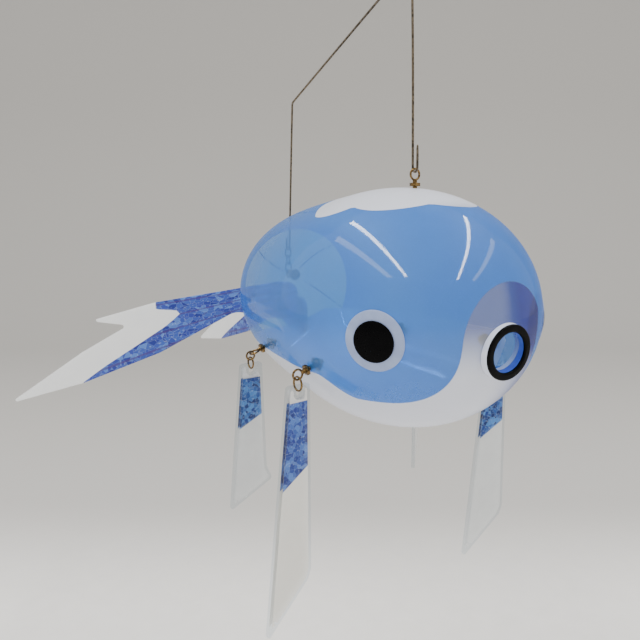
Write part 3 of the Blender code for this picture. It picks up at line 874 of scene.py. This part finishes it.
@dataclass
class Eye:
    """One eye: a white disc and a black pupil that follow the shell."""

    side: Side
    ahead: float = 75.0
    drop: float = 6.5
    white_mm: float = 15.0
    pupil_mm: float = 10.2

    def disc(self, name: str, radius: float, low: float, high: float) -> Piece:
        """A domed disc between two heights over the shell.

        Args:
            name: The piece's name.
            radius: The disc's radius in millimetres.
            low: The back's height in millimetres.
            high: The front's height in millimetres.

        Returns:
            The piece.
        """
        normal = EGG.normal_at(self.ahead, self.side, -self.drop)
        axes = axes_from(normal, Vector((0, 0, 1)))
        out = self.side.value * EGG.side_at(self.ahead, -self.drop)
        place = on_body(self.ahead, out, -self.drop)
        deselect()
        bpy.ops.mesh.primitive_circle_add(vertices=96, radius=radius * MM, fill_type="NGON")
        disc = named(name)
        with editing(disc):
            for _ in range(12):
                bpy.ops.mesh.inset(thickness=radius * MM / 13.5)
            bpy.ops.mesh.poke()
        carry(disc, axes, place)
        for vertex in disc.data.vertices:
            local = (vertex.co - CENTRE) / MM
            # Slide along the disc's axis until the point meets the shell
            reach = 0.0
            for _ in range(12):
                point = local + normal * reach
                size = EGG.section(point.x)
                rim = hypot(point.y / (EGG.width * size), point.z / (EGG.height * size))
                reach -= (rim - 1) * EGG.width * size
            vertex.co = CENTRE + (local + normal * (reach + low)) * MM
        thick = disc.modifiers.new("thick", "SOLIDIFY")
        thick.thickness = (high - low) * MM
        thick.offset = 1.0
        apply_all(disc)
        recalculate(disc)
        bevelled(disc, 0.25 * MM, 3)
        smooth(disc, 40)
        return disc

    def make(self) -> list[Piece]:
        """Builds and dresses the eye."""
        word = self.side.word
        white = self.disc(f"eye_disc_{word}", self.white_mm, 0.3, 0.8)
        dress_in(white, MouldedFinish(f"eye_white_{word}", "98a6c8", "8d9bbf", 0.35, ior=1.3))
        pupil = self.disc(f"eye_dot_{word}", self.pupil_mm, 1.1, 1.6)
        dress_in(pupil, MouldedFinish(f"pupil_{word}", "040405", "020203", 0.28, ior=1.12))
        for piece, node in ((white, "eye_white"), (pupil, "eye_pupil")):
            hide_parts(f"{node}_{word}")
            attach(piece, "carp")
        return [white, pupil]


# ---------------------------------------------------------------- plates


@dataclass
class Plate:
    """A flat plate, taken from its solid, with polished edges and stored print distances."""

    node: str
    body: str
    finish: PrintedPlateFinish
    grid_mm: float = 3.0
    polish_mm: float = 0.3

    def build(self, nodes: dict) -> tuple[Piece, Matrix]:
        """The plate with bevelled edges and a fine grid, and its axes.

        Args:
            nodes: The CAD nodes by name.

        Returns:
            The piece, and a matrix of its along, up and across directions in its columns.
        """
        plate = copy_of(nodes[self.node], self.node + "_printed")
        with editing(plate):
            bpy.ops.mesh.remove_doubles(threshold=0.00001)
            bpy.ops.mesh.dissolve_limited(angle_limit=radians(1))
        largest = max(plate.data.polygons, key=lambda face: face.area)
        across = largest.normal.copy()
        up = Vector((0, 0, 1))
        along = up.cross(across).normalized()
        return plate, Matrix((along, up, across)).transposed()

    def edges(self, plate: Piece, axes: Matrix) -> Values:
        """The outline's edges as rows of along and up at both ends, in metres."""
        mesh = bmesh.new()
        mesh.from_mesh(plate.data)
        across = axes.col[2]
        rows = []
        for edge in mesh.edges:
            facing = [abs(face.normal.dot(across)) > 0.9 for face in edge.link_faces]
            if len(facing) == 2 and facing[0] != facing[1]:
                ends = [axes.transposed() @ vertex.co for vertex in edge.verts]
                rows.append((ends[0].x, ends[0].y, ends[1].x, ends[1].y))
        mesh.free()
        return np.array(rows)

    def gridded(self, plate: Piece, axes: Matrix) -> None:
        """Cuts the plate into a grid, so that it can hold smooth distances."""
        local = points_of(plate) @ np.array(axes)
        with editing(plate):
            for column in (0, 1):
                low, high = local[:, column].min(), local[:, column].max()
                count = int((high - low) / (self.grid_mm * MM))
                normal = axes.col[column]
                for i in range(1, count + 1):
                    level = low + (high - low) * i / (count + 1)
                    bpy.ops.mesh.select_all(action="SELECT")
                    bpy.ops.mesh.bisect(plane_co=normal * level, plane_no=normal)

    def print_reach(self, along: Values, up: Values) -> Values:
        """How far inside the print each point is, in millimetres."""
        raise NotImplementedError

    def lay(self, along: Values, up: Values) -> tuple[Values, Values]:
        """Where each point is in the print's own run and rise, in millimetres."""
        return along, up

    def make(self, nodes: dict) -> Piece:
        """Builds and dresses the plate."""
        plate, axes = self.build(nodes)
        rows = self.edges(plate, axes)
        bevelled(plate, self.polish_mm * MM, 2)
        self.gridded(plate, axes)
        local = points_of(plate) @ np.array(axes)
        ax, ay, bx, by = rows.T
        px, py = local[:, :1], local[:, 1:2]
        dx, dy = bx - ax, by - ay
        part = np.clip(((px - ax) * dx + (py - ay) * dy) / (dx * dx + dy * dy), 0, 1)
        inside = np.hypot(px - ax - part * dx, py - ay - part * dy).min(axis=1) / MM
        along, up = local[:, 0] / MM, local[:, 1] / MM
        run, rise = self.lay(along, up)
        store(plate, "inside_mm", inside)
        store(plate, "print_mm", self.print_reach(along, up))
        store(plate, "run_mm", run)
        store(plate, "rise_mm", rise)
        plate.data.materials.clear()
        dress_in(plate, self.finish)
        smooth(plate, 40)
        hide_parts(self.node)
        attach(plate, self.body)
        return plate


@dataclass
class FinPlate(Plate):
    """A hinged fin plate, printed on its upper part."""

    hole_height_mm: float = 0.0
    print_top_mm: float = 5.0
    print_tip_mm: float = 48.0
    print_other_mm: float = 39.0
    width_mm: float = 14.5

    def print_reach(self, along: Values, up: Values) -> Values:
        """Into the band between the print's top and its slanted foot, in millimetres."""
        below = self.hole_height_mm - up
        head = along[up > up.max() - 6]
        middle = (head.min() + head.max()) / 2
        tip_side = np.sign(along[up.argmin()] - middle)
        share = (along - middle) * tip_side / self.width_mm + 0.5
        foot = self.print_other_mm + (self.print_tip_mm - self.print_other_mm) * share
        return np.minimum(below - self.print_top_mm, (foot - below) * 0.85)


@dataclass
class TailPlate(Plate):
    """A forked tail plate, printed from its tab to two prongs."""

    pole_along_mm: float = 0.0
    pole_up_mm: float = 0.0
    out_sign: float = 1.0
    lift: float = 0.0
    # The rows of scales fan out from a point behind the tab and above it
    fan_behind_mm: float = 70.0
    fan_above_mm: float = 12.0
    # The rear wall's middle, where the tabs come out on either side
    tab_x_mm: float = -110.0
    tab_y_mm: float = 6.0
    tab_z_mm: float = 3.0
    left_drop_mm: float = 12.0
    left_lift: float = radians(8)
    # Where the print's notch starts, and the short prong's rounded end
    notch_mm: float = 85.0
    short_end_mm: float = 107.5
    short_middle_mm: float = -22.0
    short_foot_mm: float = -24.3
    # Upper edge of the print's long prong: out and up, in millimetres
    prong_top: tuple[tuple[float, float], ...] = (
        *((84.0, -24.0), (86.0, -26.0), (91.0, -30.5), (100.0, -37.4)),
        *((122.7, -51.6), (155.7, -72.0), (177.0, -86.5)),
    )

    def from_pole(self, along: Values, up: Values) -> tuple[Values, Values]:
        """Each point's way out from the tab's mouth, and its height over it."""
        out = (along - self.pole_along_mm) * self.out_sign
        height = up - self.pole_up_mm
        turn = -self.lift
        return (out * cos(turn) - height * sin(turn), out * sin(turn) + height * cos(turn))

    def lay(self, along: Values, up: Values) -> tuple[Values, Values]:
        """Rows of scales that fan out from behind the tab, each longer than it is tall."""
        out, height = self.from_pole(along, up)
        out, height = out + self.fan_behind_mm, height - self.fan_above_mm
        return np.hypot(out, height) / 2.1, np.arctan2(height, out) * 150

    def print_reach(self, along: Values, up: Values) -> Values:
        """Into the print, whose upper prong is short and whose lower prong is long."""
        out, height = self.from_pole(along, up)
        # The short prong ends round; the long one narrows to a point along the lower edge
        rounding = (height - self.short_middle_mm) ** 2 * 0.02
        short = np.minimum(self.short_end_mm - out - rounding, height - self.short_foot_mm)
        top = np.interp(out, *zip(*self.prong_top))
        notch = np.maximum(short, (top - height) * 0.85)
        notch = np.where(out > self.prong_top[-1][0], -5.0, notch)
        return np.where(out < self.notch_mm, 5.0, notch)

    def find_pole(self, node: Piece) -> None:
        """Works out where the tab's mouth is along the plate and up it, from its solid."""
        side = Side.RIGHT if self.node.endswith("right") else Side.LEFT
        largest = max(node.data.polygons, key=lambda face: face.area)
        normal = (node.matrix_world.to_3x3() @ largest.normal).normalized()
        along = Vector((0, 0, 1)).cross(normal).normalized()
        drop = self.left_drop_mm if side is Side.LEFT else 0.0
        pole = on_body(self.tab_x_mm, side.value * self.tab_y_mm, self.tab_z_mm - drop)
        self.pole_along_mm = pole.dot(along) / MM
        self.pole_up_mm = pole.z / MM
        middle = sum((Vector(corner) for corner in node.bound_box), Vector()) / 8
        outward = (node.matrix_world @ middle - pole).dot(along)
        self.out_sign = 1.0 if outward > 0 else -1.0
        self.lift = self.left_lift if side is Side.LEFT else 0.0


# ---------------------------------------------------------------- brass


@dataclass
class Brassware:
    """Rings, links, screw eyes and nuts in aged brass, and the hanging wire in a darker one."""

    finish: bpy.types.Material
    wire: bpy.types.Material

    def round_copy(self, nodes: dict, node: str, body: str) -> Piece:
        """A piece from a node's solid, riding on a body: wire is subdivided, the rest bevelled."""
        piece = copy_of(nodes[node], node + "_round")
        with editing(piece):
            bpy.ops.mesh.remove_doubles(threshold=0.000005)
            bpy.ops.mesh.tris_convert_to_quads(
                face_threshold=radians(50), shape_threshold=radians(60)
            )
        if "wire" in node or "ring" in node or "link" in node:
            finer = piece.modifiers.new("round", "SUBSURF")
            finer.levels = 2
            finer.render_levels = 2
            apply_all(piece)
        else:
            bevelled(piece, 0.15 * MM, 2)
        smooth(piece, 50)
        piece.data.materials.clear()
        piece.data.materials.append(self.wire if node == "hanger_wire" else self.finish)
        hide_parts(node)
        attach(piece, body)
        return piece


# ---------------------------------------------------------------- the studio


@dataclass
class Studio:
    """A pale sweep, soft lamps and the camera."""

    azimuth: float = 55.1
    elevation: float = 7.6
    distance: float = 0.410
    focal: float = 683.0 / 640 * 36
    shift: tuple[float, float] = (-59.3 / 640, -18.5 / 640)
    # The sweep, in metres: its floor, the bend's short steps and the wall above them
    floor_size: float = 7.0
    floor_height: float = -0.42
    floor_shift: float = -1.6
    bend_steps: int = 12
    bend_step: float = 0.13
    wall_height: float = 3.0
    # Ceiling lamps: name, place from the carp's centre, length and width in metres, and watts
    lamps: tuple[tuple, ...] = (
        ("near_tube", (-0.09, -0.75, 1.3), (2.35, 0.07), 20),
        ("far_tube", (0.78, 0.52, 1.3), (2.4, 0.07), 20),
        ("near_glow", (-0.34, -1.15, 1.3), (2.1, 0.16), 5),
        ("far_glow", (1.15, 1.05, 1.3), (2.1, 0.16), 5),
    )
    lamp_turn: float = -26.4
    room_light: float = 1.07

    def back(self) -> Vector:
        """From the carp's centre towards the camera."""
        a, e = radians(self.azimuth), radians(self.elevation)
        return Vector((sin(a) * cos(e), -cos(a) * cos(e), sin(e)))

    def camera(self) -> None:
        """Adds the camera, which looks at the carp's centre."""
        data = bpy.data.cameras.new("camera")
        data.lens = self.focal
        data.sensor_width = 36
        data.shift_x, data.shift_y = self.shift
        camera = bpy.data.objects.new("camera", data)
        bpy.context.scene.collection.objects.link(camera)
        camera.location = CENTRE + self.back() * self.distance
        camera.rotation_euler = (-self.back()).to_track_quat("-Z", "Y").to_euler()
        bpy.context.scene.camera = camera

    def sweep(self) -> None:
        """Adds the floor and the wall behind it as one curved sheet."""
        deselect()
        bpy.ops.mesh.primitive_plane_add(size=1.0)
        floor = named("studio_sweep")
        floor.scale = (self.floor_size, self.floor_size, 1.0)
        settle(floor)
        away = -self.back()
        away.z = 0
        away.normalize()
        with editing(floor):
            bpy.ops.mesh.select_all(action="DESELECT")
        for edge in floor.data.edges:
            middle = sum(floor.data.vertices[i].co.y for i in edge.vertices) / 2
            edge.select = middle > self.floor_size / 2 - 0.1
        bpy.ops.object.mode_set(mode="EDIT")
        bpy.ops.mesh.select_mode(type="EDGE")
        for step in range(1, self.bend_steps + 1):
            turn = pi / 2 * step / self.bend_steps
            move = (0, cos(turn) * self.bend_step, sin(turn) * self.bend_step)
            bpy.ops.mesh.extrude_edges_move(TRANSFORM_OT_translate={"value": move})
        wall = (0, 0, self.wall_height)
        bpy.ops.mesh.extrude_edges_move(TRANSFORM_OT_translate={"value": wall})
        bpy.ops.object.mode_set(mode="OBJECT")
        turn = atan2(away.y, away.x) - pi / 2
        place = CENTRE + Vector((0, 0, self.floor_height)) + away * self.floor_shift
        floor.data.transform(Matrix.Translation(place) @ Matrix.Rotation(turn, 4, "Z"))
        smooth(floor, 60)
        dress_in(floor, FloorFinish())

    def tube(self, name: str, place: Vector, size: tuple[float, float], power: float) -> None:
        """Adds a long ceiling lamp that shines straight down, turned as the room's lamps are.

        Args:
            name: The lamp's name.
            place: Its place from the carp's centre, in metres.
            size: Its length and width in metres.
            power: Its power in watts.
        """
        data = bpy.data.lights.new(name, "AREA")
        data.shape = "RECTANGLE"
        data.size, data.size_y = size
        data.energy = power
        lamp = bpy.data.objects.new(name, data)
        bpy.context.scene.collection.objects.link(lamp)
        lamp.location = CENTRE + place
        lamp.rotation_euler = (0, 0, radians(self.lamp_turn))

    def light(self) -> None:
        """Adds the lamps and the room's even light."""
        world = bpy.data.worlds.new("room")
        world.use_nodes = True
        background = world.node_tree.nodes["Background"]
        background.inputs["Color"].default_value = rgb("f4f4f2")
        background.inputs["Strength"].default_value = self.room_light
        bpy.context.scene.world = world
        for name, place, size, power in self.lamps:
            self.tube(name, Vector(place), size, power)

    def make(self) -> None:
        """Builds the studio."""
        self.camera()
        self.sweep()
        self.light()


# ---------------------------------------------------------------- everything together

PECTORAL_HOLE_Z = -0.2192  # heights of the fins' holes, in metres
PELVIC_HOLE_Z = -0.22244


def fin_plates() -> list[FinPlate]:
    """The four fin plates with their prints."""
    blues = ("09265f", "184a90", "4380c2", "0e347c")
    violets = ("182a74", "2a4898", "5079c0", "20368a")
    plates = []
    for fin in Fin:
        for side in Side:
            word = side.word
            near = fin is Fin.PECTORAL and side is Side.RIGHT
            finish = PrintedPlateFinish(
                name=f"{fin.value}_{word}_print",
                inks=violets if near else blues,
                cell_mm=2.4,
                milk="e9e6de" if near else "e2e2e0",
                milk_cover=0.80 if near else 0.45,
                border_mm=1.9,
            )
            tall = fin is Fin.PECTORAL
            name = f"{fin.value}_fin_{word}"
            plates.append(
                FinPlate(
                    name,
                    name,
                    finish,
                    hole_height_mm=(PECTORAL_HOLE_Z if tall else PELVIC_HOLE_Z) / MM,
                    print_tip_mm=48.0 if tall else 35.0,
                    print_other_mm=39.0 if tall else 28.0,
                )
            )
    return plates


def tail_plates() -> list[TailPlate]:
    """The two tail plates with their prints."""
    inks = ("1d2c86", "3040a0", "3656ac", "283896", "5078c4")
    plates = []
    for side in Side:
        finish = PrintedPlateFinish(
            name=f"tail_{side.word}_print",
            inks=inks,
            cell_mm=2.4,
            milk="f1f2f2",
            milk_cover=0.84,
            border_mm=0.0,
            ray_mm=9.0,
        )
        node = f"tail_plate_{side.word}"
        plates.append(TailPlate(node, "carp", finish))
    return plates


def main() -> None:
    """Builds each part of the carp in order, and logs it."""
    logging.basicConfig(level=logging.INFO, format="%(name)s: %(message)s")
    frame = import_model()
    nodes = frame["nodes"]

    LOG.info("shell: %s", Shell().make().name)
    LOG.info("mouth: %s", Mouth().make().name)
    for side in Side:
        LOG.info("eye: %s", [piece.name for piece in Eye(side).make()])
    for plate in fin_plates():
        LOG.info("fin: %s", plate.make(nodes).name)
    for plate in tail_plates():
        plate.find_pole(nodes[plate.node])
        LOG.info("tail: %s", plate.make(nodes).name)

    dark_wire = AgedBrassFinish("dark_wire", "3c352c", "7d705e", 0.3)
    brass = Brassware(AgedBrassFinish().make(), dark_wire.make())
    bodies = frame["record"]["behaviour"]["bodies"].items()
    body_of = {name: body for body, members in bodies for name in members}
    kinds = ("wire", "link", "ring", "screw", "nut", "washer")
    for name in sorted(nodes):
        if name != "mouth_ring" and any(kind in name for kind in kinds):
            brass.round_copy(nodes, name, body_of[name])
    LOG.info("brass: done")

    Studio().make()


if __name__ == "__main__":
    main()
